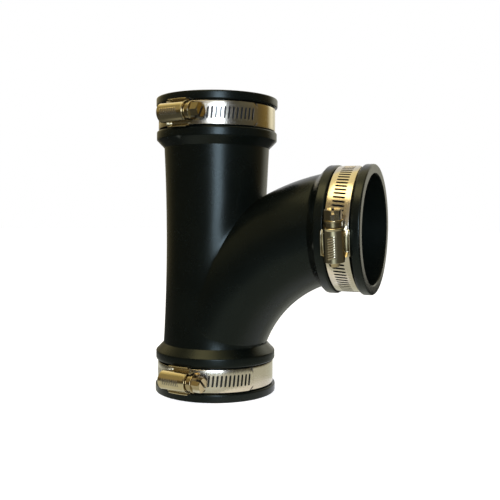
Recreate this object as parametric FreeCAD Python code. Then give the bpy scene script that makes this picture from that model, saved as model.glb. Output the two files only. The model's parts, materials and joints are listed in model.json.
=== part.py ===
import FreeCAD, Part
import math
import os

# Flexible pipe tee: one moulded rubber body with two in-line sockets and a swept branch socket,
# each socket gripped by a worm-drive band clamp made of a slotted band, a saddle, a housing and
# a screw.
# Frame: +Z runs up the run, +X runs out of the branch, and the origin is the centre of the
# lower mouth. All sizes are millimetres and degrees.

# Sockets of the rubber body, from the mouth inward
PIPE_BORE_R = 30.2
PIPE_STOP_DEPTH = 28.0
LIP_R = 35.5
LIP_LENGTH = 4.9
LIP_ROUND = 0.8
MOUTH_CHAMFER = 0.5
GROOVE_R = 33.3
GROOVE_WIDTH = 14.2
SHOULDER_R = 35.2
SHOULDER_WIDTH = 5.0
SHOULDER_ROUND = 1.0
CONE_LENGTH = 4.5
CONE_ROOT = 2.2

# Run and branch of the rubber body
RUN_LENGTH = 171.0
BRANCH_HEIGHT = 96.2
BRANCH_REACH = 94.9
NECK_END_R = 30.8
NECK_MID_R = 29.3
NECK_WALL = 5.0
SWEEP_CENTRE_INSET = 5.4
SWEEP_OVERSHOOT = 3.8
SWEEP_TUBE_R = 30.1
SWEEP_START_TURN = 18.0
SWEEP_END_TURN = 83.0
CUT_MARGIN = 2.0

# Band of each clamp, wound from its fixed end in the housing once round and past the housing
BAND_WIDTH = 12.7
BAND_THICKNESS = 0.65
BAND_FLOAT = 0.2
LAYER_GAP = 0.1
FIXED_END_BACK = 8.0
RAMP_TURN = 20.0
ENTRY_RAMP_TURN = 38.0
FLAT_HALF_TURN = 12.0
SLOT_LENGTH = 6.4
SLOT_WIDTH = 1.05
SLOTS_BEFORE_HOUSING = 20
TAIL_END_MARGIN = 3.0
TAIL_CORNER = 2.8

# Saddle under the housing, with a side wall in the groove and an ear above the lips on each side
SADDLE_THICKNESS = 0.65
SADDLE_LENGTH = 13.7
SADDLE_WALL = 0.5
SADDLE_SIDE_GAP = 0.1
EAR_THICKNESS = 0.65
EAR_LIFT = 0.15
EAR_HEIGHT = 2.5
EAR_STEP_HEIGHT = 0.65

# Housing pressed over the screw
HOUSING_LENGTH = 17.6
HOUSING_SHEET = 0.75
HOUSING_GAP = 0.08
HOUSING_FOOT_WIDTH = 12.7
HOUSING_FOOT_LENGTH = 13.0
HOUSING_RIM_LENGTH = 0.9
HOUSING_RIM_RISE = 0.3
HOUSING_CORNER = 4.2

# Worm screw
WORM_CREST_R = 4.2
WORM_ROOT_R = 3.35
WORM_PITCH = 2.4
WORM_CREST_WIDTH = 0.45
WORM_BASE_WIDTH = 1.25
WORM_BASE_SINK = 0.3
WORM_BITE = 0.55
WORM_RUNNING_GAP = 0.35
THREAD_TURNS = 6
TIP_R = 2.5
TIP_LENGTH = 2.4
SHOULDER_GAP = 0.3
SCREW_SHOULDER_R = 4.5
SCREW_SHOULDER_LENGTH = 2.6
COLLAR_R = 5.05
COLLAR_LENGTH = 1.0
HEX_ACROSS_FLATS = 7.94
HEX_LENGTH = 5.3
HEX_CHAMFER = 0.45
DRIVER_SLOT_WIDTH = 1.4
DRIVER_SLOT_DEPTH = 2.4

# Where each clamp sits round its socket, how far its tail runs past the housing, and how its
# driver slot lies
UPPER_CLAMP_TURN = -100.7
LOWER_CLAMP_TURN = -98.2
BRANCH_CLAMP_DROP = 10.4
UPPER_TAIL_TURN = 76.0
LOWER_TAIL_TURN = 71.0
BRANCH_TAIL_TURN = 91.0
UPPER_SLOT_TURN = 60.0
LOWER_SLOT_TURN = -45.0
BRANCH_SLOT_TURN = 15.0

# Worked out from the sizes above
SOCKET_LENGTH = LIP_LENGTH + GROOVE_WIDTH + SHOULDER_WIDTH + CONE_LENGTH
GROOVE_CENTRE = LIP_LENGTH + GROOVE_WIDTH / 2
NECK_BORE_R = NECK_END_R - NECK_WALL
SWEEP_CENTRE_X = BRANCH_REACH - SWEEP_CENTRE_INSET
SWEEP_BEND_R = SWEEP_CENTRE_X + SWEEP_OVERSHOOT
BAND_REST_R = GROOVE_R + BAND_FLOAT
SADDLE_TOP_R = BAND_REST_R + SADDLE_THICKNESS
INNER_LAYER_R = SADDLE_TOP_R + LAYER_GAP / 2
OUTER_LAYER_R = INNER_LAYER_R + BAND_THICKNESS + LAYER_GAP
TAIL_R = BAND_REST_R + BAND_THICKNESS + LAYER_GAP
BAND_TOP_R = OUTER_LAYER_R + BAND_THICKNESS
SCREW_AXIS_R = BAND_TOP_R - WORM_BITE + WORM_CREST_R
BARREL_INNER_R = WORM_CREST_R + WORM_RUNNING_GAP
BARREL_OUTER_R = BARREL_INNER_R + HOUSING_SHEET
SLOT_STEP = math.degrees(WORM_PITCH / (OUTER_LAYER_R + BAND_THICKNESS / 2))
SLOT_SLANT = math.degrees(math.atan(WORM_PITCH / (math.pi * (WORM_CREST_R + WORM_ROOT_R))))


def vector(x, y, z):
    return FreeCAD.Vector(x, y, z)


def placed(shape, placement):
    moved = shape.copy()
    moved.Placement = placement.multiply(moved.Placement)
    return moved


def axes_placement(origin, x_axis, y_axis, z_axis):
    """Placement that carries a local frame to the given origin and axes."""
    matrix = FreeCAD.Matrix(
        x_axis.x, y_axis.x, z_axis.x, origin.x,
        x_axis.y, y_axis.y, z_axis.y, origin.y,
        x_axis.z, y_axis.z, z_axis.z, origin.z,
        0, 0, 0, 1)
    return FreeCAD.Placement(matrix)


def revolved(outline, turn=360.0):
    """Solid of revolution about Z from (radius, z) points, centred on the X axis."""
    corners = [vector(radius, 0, z) for radius, z in outline]
    face = Part.Face(Part.makePolygon(corners + corners[:1]))
    face.rotate(vector(0, 0, 0), vector(0, 0, 1), -turn / 2)
    return face.revolve(vector(0, 0, 0), vector(0, 0, 1), turn)


def round_edges(solid, radius, rings):
    """Fillet the circular edges about Z whose (radius, z) is in rings."""
    chosen = []
    for edge in solid.Edges:
        if not isinstance(edge.Curve, Part.Circle):
            continue
        for ring_r, ring_z in rings:
            same_r = abs(edge.Curve.Radius - ring_r) < 1e-4
            same_z = abs(edge.Curve.Center.z - ring_z) < 1e-4
            if same_r and same_z:
                chosen.append(edge)
    return solid.makeFillet(radius, chosen)


# Rubber body

def turned_solid(outline):
    """Full solid of revolution about Z, with its seam on -X, away from the branch."""
    solid = revolved(outline)
    solid.rotate(vector(0, 0, 0), vector(0, 0, 1), 180)
    return solid


def socket_outer():
    """Outside of one socket, mouth at z = 0 and running inward along +Z. The cone goes on inward
    under the neck, so that it meets a leaning tube all round."""
    groove_start = LIP_LENGTH
    groove_end = groove_start + GROOVE_WIDTH
    shoulder_end = groove_end + SHOULDER_WIDTH
    cone_slope = CONE_LENGTH / (SHOULDER_R - NECK_END_R)
    cone_end = SOCKET_LENGTH + CONE_ROOT * cone_slope
    body = turned_solid([
        (0, 0),
        (LIP_R, 0),
        (LIP_R, groove_start),
        (GROOVE_R, groove_start),
        (GROOVE_R, groove_end),
        (SHOULDER_R, groove_end),
        (SHOULDER_R, shoulder_end),
        (NECK_END_R - CONE_ROOT, cone_end),
        (0, cone_end)])
    body = round_edges(body, LIP_ROUND, [(LIP_R, 0), (LIP_R, groove_start)])
    return round_edges(body, SHOULDER_ROUND, [(SHOULDER_R, groove_end), (SHOULDER_R, shoulder_end)])


def run_neck():
    """Outside of the run between its sockets: a drum with a slight waist."""
    low = vector(-NECK_END_R, 0, SOCKET_LENGTH)
    middle = vector(-NECK_MID_R, 0, RUN_LENGTH / 2)
    high = vector(-NECK_END_R, 0, RUN_LENGTH - SOCKET_LENGTH)
    axis_low = vector(0, 0, low.z)
    axis_high = vector(0, 0, high.z)
    outline = Part.Wire([
        Part.Arc(low, middle, high).toShape(),
        Part.LineSegment(high, axis_high).toShape(),
        Part.LineSegment(axis_high, axis_low).toShape(),
        Part.LineSegment(axis_low, low).toShape()])
    return Part.Face(outline).revolve(vector(0, 0, 0), vector(0, 0, 1), 360)


def sweep_tube(tube_r):
    """Part of a ring whose centre line bends from up the run to out of the branch, and crosses
    the branch axis at the inner end of the branch socket."""
    reach = SWEEP_CENTRE_X - (BRANCH_REACH - SOCKET_LENGTH)
    centre_z = BRANCH_HEIGHT - math.sqrt(SWEEP_BEND_R ** 2 - reach ** 2)
    bend_centre = vector(SWEEP_CENTRE_X, 0, centre_z)
    start = bend_centre + vector(-SWEEP_BEND_R, 0, 0)
    section = Part.Face(Part.Wire(Part.makeCircle(tube_r, start, vector(0, 0, 1))))
    section.rotate(bend_centre, vector(0, 1, 0), SWEEP_START_TURN)
    return section.revolve(bend_centre, vector(0, 1, 0), SWEEP_END_TURN - SWEEP_START_TURN)


def mouth_placements():
    """Local socket frames (mouth at the origin, inward along +Z) of the three mouths."""
    x, y, z = vector(1, 0, 0), vector(0, 1, 0), vector(0, 0, 1)
    lower = axes_placement(vector(0, 0, 0), x, y, z)
    upper = axes_placement(vector(0, 0, RUN_LENGTH), x, y * -1, z * -1)
    branch = axes_placement(vector(BRANCH_REACH, 0, BRANCH_HEIGHT), z, y, x * -1)
    return lower, upper, branch


def make_tee_body():
    mouths = mouth_placements()
    socket = socket_outer()
    outside = run_neck().fuse([placed(socket, mouth) for mouth in mouths])
    outside = outside.fuse(sweep_tube(SWEEP_TUBE_R))
    pipe_space = turned_solid([
        (0, -CUT_MARGIN),
        (PIPE_BORE_R + MOUTH_CHAMFER + CUT_MARGIN, -CUT_MARGIN),
        (PIPE_BORE_R, MOUTH_CHAMFER),
        (PIPE_BORE_R, PIPE_STOP_DEPTH),
        (0, PIPE_STOP_DEPTH)])
    inside = turned_solid([
        (0, PIPE_STOP_DEPTH / 2),
        (NECK_BORE_R, PIPE_STOP_DEPTH / 2),
        (NECK_BORE_R, RUN_LENGTH - PIPE_STOP_DEPTH / 2),
        (0, RUN_LENGTH - PIPE_STOP_DEPTH / 2)])
    inside = inside.fuse([placed(pipe_space, mouth) for mouth in mouths])
    inside = inside.fuse(sweep_tube(SWEEP_TUBE_R - NECK_WALL))
    body = outside.cut(inside).removeSplitter()
    return body.Solids[0]


# Clamp pieces, in a local frame: Z along the socket, the housing centred on +X, the screw head
# and the band's tail towards +Y

def eased(share):
    """Smooth step from 0 to 1 with level ends."""
    share = min(max(share, 0.0), 1.0)
    return share * share * (3 - 2 * share)


def band_radius(turn):
    """Inner radius of the wound band at a turn in degrees, 0 at the housing's centre."""
    if turn < 180:
        down = eased((turn - FLAT_HALF_TURN) / RAMP_TURN)
        return INNER_LAYER_R + (BAND_REST_R - INNER_LAYER_R) * down
    if turn < 360:
        up = eased((turn - (360 - FLAT_HALF_TURN - ENTRY_RAMP_TURN)) / ENTRY_RAMP_TURN)
        return BAND_REST_R + (OUTER_LAYER_R - BAND_REST_R) * up
    down = eased((turn - 360 - FLAT_HALF_TURN) / RAMP_TURN)
    return OUTER_LAYER_R + (TAIL_R - OUTER_LAYER_R) * down


def band_strip(tail_turn):
    """The bare strip, wound from its fixed end to its tail."""
    first = -FIXED_END_BACK
    last = 360 + tail_turn
    steps = math.ceil((last - first) / 4)
    inner = []
    outer = []
    for step in range(steps + 1):
        turn = first + (last - first) * step / steps
        angle = math.radians(turn)
        radius = band_radius(turn)
        heading = vector(math.cos(angle), math.sin(angle), 0)
        inner.append(heading * radius)
        outer.append(heading * (radius + BAND_THICKNESS))
    inner_curve = Part.BSplineCurve()
    inner_curve.interpolate(inner)
    outer_curve = Part.BSplineCurve()
    outer_curve.interpolate(outer)
    outline = Part.Wire([
        inner_curve.toShape(),
        Part.LineSegment(inner[-1], outer[-1]).toShape(),
        outer_curve.toShape(),
        Part.LineSegment(outer[0], inner[0]).toShape()])
    outline.translate(vector(0, 0, -BAND_WIDTH / 2))
    return Part.Face(outline).extrude(vector(0, 0, BAND_WIDTH))


def slot_cutter(turn):
    """Slanted slot through the outer layer alone at a turn in degrees."""
    depth = BAND_THICKNESS + CUT_MARGIN
    low = band_radius(turn + 360) - LAYER_GAP / 2
    cutter = Part.makeBox(depth, SLOT_WIDTH, SLOT_LENGTH,
                          vector(low, -SLOT_WIDTH / 2, -SLOT_LENGTH / 2))
    cutter.rotate(vector(0, 0, 0), vector(1, 0, 0), -SLOT_SLANT)
    cutter.rotate(vector(0, 0, 0), vector(0, 0, 1), turn)
    return cutter


def tail_corner_cutters(tail_turn):
    """Two wedges that clip the corners of the tail at 45 degrees."""
    middle = tail_turn - math.degrees(TAIL_CORNER / 2 / TAIL_R)
    low = TAIL_R - LAYER_GAP / 2
    depth = BAND_THICKNESS + CUT_MARGIN
    end = TAIL_CORNER / 2
    edge = BAND_WIDTH / 2
    cutters = []
    for side in (-1, 1):
        corners = [
            vector(low, end + CUT_MARGIN, side * (edge - TAIL_CORNER - CUT_MARGIN)),
            vector(low, end + CUT_MARGIN, side * (edge + CUT_MARGIN)),
            vector(low, end - TAIL_CORNER - CUT_MARGIN, side * (edge + CUT_MARGIN))]
        face = Part.Face(Part.makePolygon(corners + corners[:1]))
        wedge = face.extrude(vector(depth, 0, 0))
        wedge.rotate(vector(0, 0, 0), vector(0, 0, 1), middle)
        cutters.append(wedge)
    return cutters


def make_band(tail_turn):
    strip = band_strip(tail_turn)
    last_slot = int((tail_turn - TAIL_END_MARGIN) / SLOT_STEP)
    slots = [slot_cutter(step * SLOT_STEP) for step in range(-SLOTS_BEFORE_HOUSING, last_slot + 1)]
    return strip.cut(slots + tail_corner_cutters(tail_turn)).Solids[0]


def make_saddle():
    """Channel under the band: its walls line the groove and step out over the lips as ears."""
    wall_in = BAND_WIDTH / 2 + SADDLE_SIDE_GAP
    wall_out = wall_in + SADDLE_WALL
    ear_low = LIP_R + EAR_LIFT
    step_top = ear_low + EAR_STEP_HEIGHT
    ear_top = ear_low + EAR_HEIGHT
    ear_in = wall_out + SADDLE_SIDE_GAP
    ear_out = ear_in + EAR_THICKNESS
    half = [
        (SADDLE_TOP_R, wall_in),
        (step_top, wall_in),
        (step_top, ear_in),
        (ear_top, ear_in),
        (ear_top, ear_out),
        (ear_low, ear_out),
        (ear_low, wall_out),
        (BAND_REST_R, wall_out)]
    mirrored = [(radius, -z) for radius, z in reversed(half)]
    turn = math.degrees(SADDLE_LENGTH / (LIP_R + EAR_LIFT))
    return revolved(half + mirrored, turn)


def barrel_profile(radius, half_width, foot_x):
    """Round-topped upright outline of the housing, looking along the screw."""
    top_left = vector(SCREW_AXIS_R, 0, half_width)
    top_right = vector(SCREW_AXIS_R, 0, -half_width)
    crown = vector(SCREW_AXIS_R + radius, 0, 0)
    foot_left = vector(foot_x, 0, half_width)
    foot_right = vector(foot_x, 0, -half_width)
    return Part.Face(Part.Wire([
        Part.Arc(top_left, crown, top_right).toShape(),
        Part.LineSegment(top_right, foot_right).toShape(),
        Part.LineSegment(foot_right, foot_left).toShape(),
        Part.LineSegment(foot_left, top_left).toShape()]))


def make_housing():
    """Pressed cover: a barrel over the screw, skirts down to the band and a foot on each side."""
    foot_r = BAND_TOP_R + HOUSING_GAP
    foot_top = foot_r + HOUSING_SHEET
    below = foot_r - CUT_MARGIN
    back = -HOUSING_LENGTH / 2
    cover = barrel_profile(BARREL_OUTER_R, BARREL_OUTER_R, below)
    cover.translate(vector(0, back, 0))
    cover = cover.extrude(vector(0, HOUSING_LENGTH, 0))
    rim_r = BARREL_OUTER_R + HOUSING_RIM_RISE
    rim = barrel_profile(rim_r, rim_r, foot_top)
    rim.translate(vector(0, HOUSING_LENGTH / 2 - HOUSING_RIM_LENGTH, 0))
    rim = rim.extrude(vector(0, HOUSING_RIM_LENGTH, 0))
    foot_half = HOUSING_FOOT_WIDTH / 2
    foot_turn = math.degrees(HOUSING_FOOT_LENGTH / foot_r)
    feet = revolved([
        (foot_r - CUT_MARGIN / 2, -foot_half),
        (foot_top, -foot_half),
        (foot_top, foot_half),
        (foot_r - CUT_MARGIN / 2, foot_half)], foot_turn)
    tunnel = barrel_profile(BARREL_INNER_R, BARREL_INNER_R, below - CUT_MARGIN)
    tunnel.translate(vector(0, back - CUT_MARGIN, 0))
    tunnel = tunnel.extrude(vector(0, HOUSING_LENGTH + 2 * CUT_MARGIN, 0))
    band_space = Part.makeCylinder(foot_r, 2 * LIP_R, vector(0, 0, -LIP_R))
    corners = [
        vector(below, back - CUT_MARGIN, -LIP_R),
        vector(foot_r + HOUSING_CORNER, back - CUT_MARGIN, -LIP_R),
        vector(below, back + HOUSING_CORNER, -LIP_R)]
    corner = Part.Face(Part.makePolygon(corners + corners[:1])).extrude(vector(0, 0, 2 * LIP_R))
    return cover.fuse([rim, feet]).cut([tunnel, band_space, corner]).removeSplitter().Solids[0]


def worm_thread():
    """Right-hand ridge wound on the screw, with a crest facing the band at every slot."""
    base_r = WORM_ROOT_R - WORM_BASE_SINK
    helix = Part.makeHelix(WORM_PITCH, THREAD_TURNS * WORM_PITCH, WORM_ROOT_R)
    outline = [
        vector(base_r, 0, -WORM_BASE_WIDTH / 2),
        vector(WORM_CREST_R, 0, -WORM_CREST_WIDTH / 2),
        vector(WORM_CREST_R, 0, WORM_CREST_WIDTH / 2),
        vector(base_r, 0, WORM_BASE_WIDTH / 2)]
    section = Part.makePolygon(outline + outline[:1])
    ridge = Part.Wire(helix).makePipeShell([section], True, True)
    ridge.translate(vector(0, 0, -WORM_PITCH * (THREAD_TURNS // 2)))
    return ridge


def hex_head(base_z, slot_turn):
    """Hexagon with chamfered corners and a driver slot, standing on base_z."""
    corner_r = HEX_ACROSS_FLATS / math.sqrt(3)
    corners = []
    for side in range(6):
        angle = math.radians(60 * side)
        corners.append(vector(corner_r * math.cos(angle), corner_r * math.sin(angle), base_z))
    prism = Part.Face(Part.makePolygon(corners + corners[:1])).extrude(vector(0, 0, HEX_LENGTH))
    top = base_z + HEX_LENGTH
    dome = revolved([
        (0, base_z),
        (corner_r, base_z),
        (corner_r, top - HEX_CHAMFER),
        (corner_r - 2 * HEX_CHAMFER, top),
        (0, top)])
    slot = Part.makeBox(4 * corner_r, DRIVER_SLOT_WIDTH, DRIVER_SLOT_DEPTH + CUT_MARGIN,
                        vector(-2 * corner_r, -DRIVER_SLOT_WIDTH / 2, top - DRIVER_SLOT_DEPTH))
    slot.rotate(vector(0, 0, 0), vector(0, 0, 1), slot_turn)
    return prism.common(dome).cut(slot)


def make_screw(slot_turn):
    """Screw in its own frame: Z along it towards the head, X towards the band."""
    end = HOUSING_LENGTH / 2
    seat = end + SHOULDER_GAP
    shoulder_end = seat + SCREW_SHOULDER_LENGTH
    collar_end = shoulder_end + COLLAR_LENGTH
    shank = revolved([
        (0, -end - TIP_LENGTH),
        (TIP_R, -end - TIP_LENGTH),
        (WORM_ROOT_R, -end),
        (WORM_ROOT_R, seat),
        (SCREW_SHOULDER_R, seat),
        (SCREW_SHOULDER_R, shoulder_end),
        (COLLAR_R, shoulder_end),
        (COLLAR_R, collar_end),
        (0, collar_end)])
    return shank.fuse([worm_thread(), hex_head(collar_end, slot_turn)]).removeSplitter().Solids[0]


def clamp_frames():
    """Name, local frame, tail turn and driver-slot turn of each clamp."""
    up = vector(0, 0, 1)
    frames = []
    run_clamps = (
        ("upper", RUN_LENGTH - GROOVE_CENTRE, UPPER_CLAMP_TURN, UPPER_TAIL_TURN, UPPER_SLOT_TURN),
        ("lower", GROOVE_CENTRE, LOWER_CLAMP_TURN, LOWER_TAIL_TURN, LOWER_SLOT_TURN))
    for name, height, turn, tail_turn, slot_turn in run_clamps:
        angle = math.radians(turn)
        outward = vector(math.cos(angle), math.sin(angle), 0)
        frame = axes_placement(vector(0, 0, height), outward, up.cross(outward), up)
        frames.append((name, frame, tail_turn, slot_turn))
    drop = math.radians(BRANCH_CLAMP_DROP)
    outward = vector(0, -math.cos(drop), -math.sin(drop))
    inward = vector(-1, 0, 0)
    centre = vector(BRANCH_REACH - GROOVE_CENTRE, 0, BRANCH_HEIGHT)
    frame = axes_placement(centre, outward, inward.cross(outward), inward)
    frames.append(("branch", frame, BRANCH_TAIL_TURN, BRANCH_SLOT_TURN))
    return frames


def make_clamps():
    """The four pieces of each clamp, named after the socket that they grip."""
    saddle = make_saddle()
    housing = make_housing()
    screw_frame = axes_placement(
        vector(SCREW_AXIS_R, 0, 0), vector(-1, 0, 0), vector(0, 0, 1), vector(0, 1, 0))
    pieces = {}
    for name, frame, tail_turn, slot_turn in clamp_frames():
        pieces[name + "_band"] = placed(make_band(tail_turn), frame)
        pieces[name + "_saddle"] = placed(saddle, frame)
        pieces[name + "_housing"] = placed(housing, frame)
        pieces[name + "_screw"] = placed(make_screw(slot_turn), frame.multiply(screw_frame))
    return pieces


def main():
    os.makedirs("parts", exist_ok=True)
    pieces = {"tee_body": make_tee_body()}
    pieces.update(make_clamps())
    for node, shape in pieces.items():
        shape.exportStep("parts/" + node + ".step")
        print(node, "valid", shape.isValid(), "solids", len(shape.Solids),
              "volume", round(shape.Volume, 1))


main()
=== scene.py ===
# %% [markdown]
# # A rubber pipe tee with three band clamps
#
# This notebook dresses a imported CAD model, which fixes every size and place. Blender adds a moulded
# rubber skin with a soft crease where the branch leaves the run, wound steel bands with pressed
# slots, screws with real threads, and finishes with grain, rolled lines and wear.

# %% Load the fixed frame
import json
import math

import bmesh
import bpy
import numpy as np
from mathutils import Matrix, Vector


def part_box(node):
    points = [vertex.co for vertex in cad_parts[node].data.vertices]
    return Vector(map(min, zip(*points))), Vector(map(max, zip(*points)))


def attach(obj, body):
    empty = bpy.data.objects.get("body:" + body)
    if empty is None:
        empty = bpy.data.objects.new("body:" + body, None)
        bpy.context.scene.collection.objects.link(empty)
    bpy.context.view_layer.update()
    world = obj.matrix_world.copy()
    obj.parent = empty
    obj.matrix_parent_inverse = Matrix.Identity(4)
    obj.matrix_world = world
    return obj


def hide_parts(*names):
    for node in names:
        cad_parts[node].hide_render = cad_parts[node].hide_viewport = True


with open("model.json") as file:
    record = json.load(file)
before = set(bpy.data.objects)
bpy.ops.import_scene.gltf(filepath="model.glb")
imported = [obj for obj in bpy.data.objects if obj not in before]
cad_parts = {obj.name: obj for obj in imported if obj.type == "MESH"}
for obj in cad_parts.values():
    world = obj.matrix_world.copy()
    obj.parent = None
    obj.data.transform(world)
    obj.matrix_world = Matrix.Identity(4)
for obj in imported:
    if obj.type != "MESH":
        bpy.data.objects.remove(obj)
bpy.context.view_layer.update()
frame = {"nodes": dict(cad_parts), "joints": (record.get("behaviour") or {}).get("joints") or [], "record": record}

MM = 0.001
joints = {joint["name"]: joint for joint in frame["joints"]}
mounts = {mount["name"]: mount for mount in frame["record"]["mounts"]}


def new_object(name, data):
    """Object in the scene's own collection."""
    made = bpy.data.objects.new(name, data)
    bpy.context.scene.collection.objects.link(made)
    return made


print("nodes", sorted(frame["nodes"]))

# %% [markdown]
# ## Camera
#
# A product photo is judged in its own frame, so the camera comes first. Its place, heading, dip, roll
# and lens were found by matching the object's outlines.

# %% Camera at the photo's angle
CAMERA_PLACE = Vector((178.64, -378.02, 101.36)) * MM
CAMERA_AZIMUTH = math.radians(22.553)
CAMERA_DIP = math.radians(2.511)
CAMERA_ROLL = math.radians(0.508)
CAMERA_LENS = 50.68
SENSOR_WIDTH = 36.0
CLIP_START = 0.01
CLIP_END = 50.0

camera = new_object("photo_camera", bpy.data.cameras.new("photo_camera"))
camera.data.lens = CAMERA_LENS
camera.data.sensor_width = SENSOR_WIDTH
camera.matrix_world = (
    Matrix.Translation(CAMERA_PLACE) @ Matrix.Rotation(CAMERA_AZIMUTH, 4, "Z")
    @ Matrix.Rotation(math.pi / 2 - CAMERA_DIP, 4, "X") @ Matrix.Rotation(CAMERA_ROLL, 4, "Z"))
camera.data.clip_start = CLIP_START
camera.data.clip_end = CLIP_END
bpy.context.scene.camera = camera
bpy.context.scene.view_settings.view_transform = "Standard"
print("camera at", [round(c, 3) for c in camera.location])

# %% [markdown]
# ## Surfaces from numpy
#
# Every new piece is a set of sheets: grids of points, worked out as whole arrays from a formula with
# two parameters. Sheets that meet share the points of their edge, so a weld closes them into one
# skin. Outlines are drawn with straight runs and rounded corners.

# %% Outlines and sheets
TINY = 1e-9
WELD_DISTANCE = 0.002
SHORTEST_EDGE = 1e-7
SHARP_ANGLE = 40.0


def eased(share):
    """Smooth step from 0 to 1 with level ends."""
    share = np.clip(share, 0, 1)
    return share * share * (3 - 2 * share)


def polar(radius, angle, height):
    """Points at a radius and an angle about the Z axis, at a height."""
    return np.stack(np.broadcast_arrays(radius * np.cos(angle), radius * np.sin(angle), height), -1)


def unit(vector):
    """The vector's direction."""
    return vector / np.linalg.norm(vector)


def at_places(path, places):
    """Points of a path at row numbers with fractions."""
    return np.stack([np.interp(places, np.arange(len(path)), column) for column in path.T], -1)


def rounded_path(corners, radii, spacing, arc_steps=5):
    """Open outline through corners. A corner with a radius becomes an arc that touches both of its
    sides: its centre lies on the bisector and its points turn evenly. Straight runs are divided
    evenly, about one spacing apart."""
    corners = np.asarray(corners, float)
    knots = [corners[:1]]
    for before, here, after, radius in zip(corners, corners[1:], corners[2:], radii[1:]):
        if radius == 0:
            knots.append(here[None])
            continue
        to_before, to_after = unit(before - here), unit(after - here)
        half = math.acos(np.clip(to_before @ to_after, -1, 1)) / 2
        centre = here + unit(to_before + to_after) * radius / math.sin(half)
        start = here + to_before * radius / math.tan(half) - centre
        finish = here + to_after * radius / math.tan(half) - centre
        sweep = math.pi - 2 * half
        share = np.linspace(0, 1, arc_steps + 1)[:, None]
        arc = (np.sin((1 - share) * sweep) * start + np.sin(share * sweep) * finish) / math.sin(sweep)
        knots.append(centre + arc)
    knots.append(corners[-1:])
    path = np.vstack(knots)
    steps = np.linalg.norm(np.diff(path, axis=0), axis=1)
    counts = np.maximum(1, np.ceil(steps / spacing - TINY).astype(int))
    along = np.concatenate([np.arange(count) / count + place for place, count in enumerate(counts)])
    return at_places(path, np.append(along, len(path) - 1))


def sheet_faces(rows, columns, wrap=False):
    """Quads between neighbouring points of a grid stored row by row."""
    index = np.arange(rows * columns).reshape(rows, columns)
    if wrap:
        index = np.hstack([index, index[:, :1]])
    quads = np.stack([index[:-1, :-1], index[:-1, 1:], index[1:, 1:], index[1:, :-1]], -1)
    return quads.reshape(-1, 4)


def sheet(points, wrap=False):
    """A grid of points (rows, columns, 3) as (points, faces)."""
    points = np.asarray(points, float)
    return points.reshape(-1, 3), sheet_faces(points.shape[0], points.shape[1], wrap)


def build_piece(name, sheets, body, stands_for, sharp=SHARP_ANGLE):
    """Welds the sheets (millimetres) into one mesh, smooth but for edges sharper than the given
    angle, hangs it on its body and hides the CAD parts that it stands for. A sheet may end with two
    marks for the materials: each point's painted shade, a dark colour that stands in for the shade
    in slots and grooves, and its place on the flat strip that it was made from."""
    points, faces, grime, lie, start = [], [], [], [], 0
    for sheet_points, polygons, *marks in sheets:
        points.append(sheet_points)
        faces.extend((np.asarray(polygons) + start).tolist())
        grime.append(np.broadcast_to(marks[0] if marks else 0.0, len(sheet_points)))
        lie.append(marks[1] if len(marks) > 1 else sheet_points)
        start += len(sheet_points)
    mesh = bpy.data.meshes.new(name)
    mesh.from_pydata((np.vstack(points) * MM).tolist(), [], faces)
    mesh.attributes.new("grime", "FLOAT", "POINT").data.foreach_set("value", np.concatenate(grime))
    mesh.attributes.new("lie", "FLOAT_VECTOR", "POINT").data.foreach_set(
        "vector", (np.vstack(lie) * MM).ravel())
    work = bmesh.new()
    work.from_mesh(mesh)
    bmesh.ops.remove_doubles(work, verts=work.verts, dist=WELD_DISTANCE * MM)
    bmesh.ops.dissolve_degenerate(work, edges=work.edges, dist=SHORTEST_EDGE)
    bmesh.ops.recalc_face_normals(work, faces=work.faces)
    work.to_mesh(mesh)
    open_edges = sum(1 for edge in work.edges if not edge.is_manifold)
    work.free()
    mesh.polygons.foreach_set("use_smooth", np.ones(len(mesh.polygons), bool))
    mesh.set_sharp_from_angle(angle=math.radians(sharp))
    piece = new_object(name, mesh)
    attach(piece, body)
    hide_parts(*stands_for)
    print(name, "vertices", len(mesh.vertices), "faces", len(mesh.polygons), "open edges", open_edges)
    return piece


# %% [markdown]
# ## The moulded body
#
# The tee is one rubber moulding: a surface of revolution for the run, and a tube bent along an arc
# for the branch. A boolean would leave thin triangles along their crease, so the crease is solved for:
# each ring of the run opens like a curtain where the branch passes, and the branch's columns start
# on the same points. The same functions make skin and passage.

# %% Sizes of the body, from the frame
body_low, body_high = (np.array(corner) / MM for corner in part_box("tee_body"))
BORE_R = mounts["run_lower"]["dims"]["r_mm"]
STOP_DEPTH = mounts["run_lower"]["dims"]["length_mm"]
RUN_LENGTH = body_high[2] - body_low[2]
LIP_R = -body_low[1]
BRANCH_REACH = body_high[0]
BRANCH_HEIGHT = mounts["branch"]["pos_m"][2] / MM
LIP_LENGTH = 4.9
LIP_ROUND = 0.8
MOUTH_CHAMFER = 0.5
STOP_ROUND = 0.4
GROOVE_R = 33.3
GROOVE_WIDTH = 14.2
GROOVE_ROUND = 0.5
SHOULDER_R = 35.2
SHOULDER_WIDTH = 5.0
SHOULDER_ROUND = 1.0
CONE_LENGTH = 4.5
NECK_END_R = 30.8
NECK_MID_R = 29.3
NECK_WALL = 5.0
SWEEP_TUBE_R = 30.1
SWEEP_START_TURN = math.radians(18.0)
SWEEP_CENTRE_BACK = 5.4
SWEEP_RUN_OFFSET = 3.8
SWEEP_CENTRE_X = BRANCH_REACH - SWEEP_CENTRE_BACK
SWEEP_BEND_R = SWEEP_CENTRE_X + SWEEP_RUN_OFFSET
SOCKET_LENGTH = LIP_LENGTH + GROOVE_WIDTH + SHOULDER_WIDTH + CONE_LENGTH
NECK_BORE_R = NECK_END_R - NECK_WALL
SWEEP_CENTRE_Z = BRANCH_HEIGHT - math.sqrt(
    SWEEP_BEND_R ** 2 - (SWEEP_CENTRE_X - BRANCH_REACH + SOCKET_LENGTH) ** 2)
print("run length", round(RUN_LENGTH, 2), "branch reach", round(BRANCH_REACH, 2))


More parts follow.
